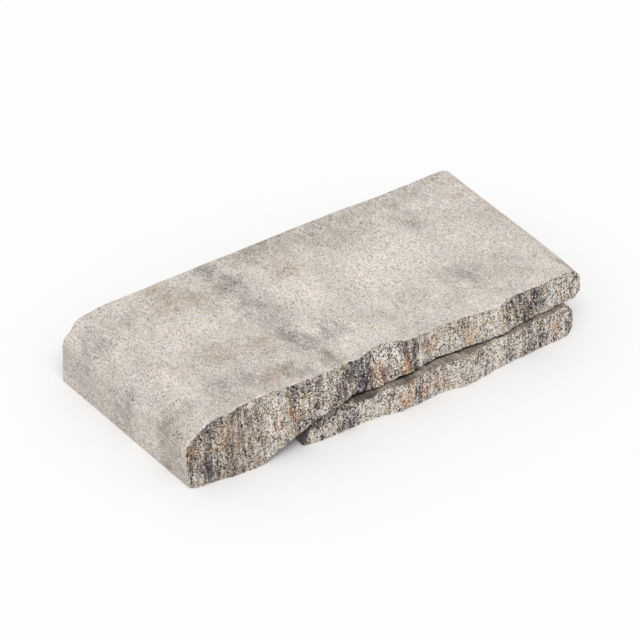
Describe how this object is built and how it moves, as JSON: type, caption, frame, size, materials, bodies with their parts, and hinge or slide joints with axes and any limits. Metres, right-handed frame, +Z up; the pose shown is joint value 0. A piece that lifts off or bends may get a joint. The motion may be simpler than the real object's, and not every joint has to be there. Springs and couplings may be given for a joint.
{
  "type": "garden wall block",
  "caption": "Flat concrete garden wall block with a split front face, a full-height foot at one end and a false joint that makes it look like stacked thin stones.",
  "frame": {"origin": "on the underside plane, below the middle of the block's bounding box", "axes": "+X along the length towards the end with the false joint, +Y from the split front face to the back, +Z up"},
  "size_m": [0.5044, 0.2564, 0.076],
  "materials": {
    "concrete": "matte cast concrete, smooth on the moulded faces and coarse on the split front"
  },
  "bodies": {
    "root": {"wall_block": "concrete"}
  },
  "joints": []
}
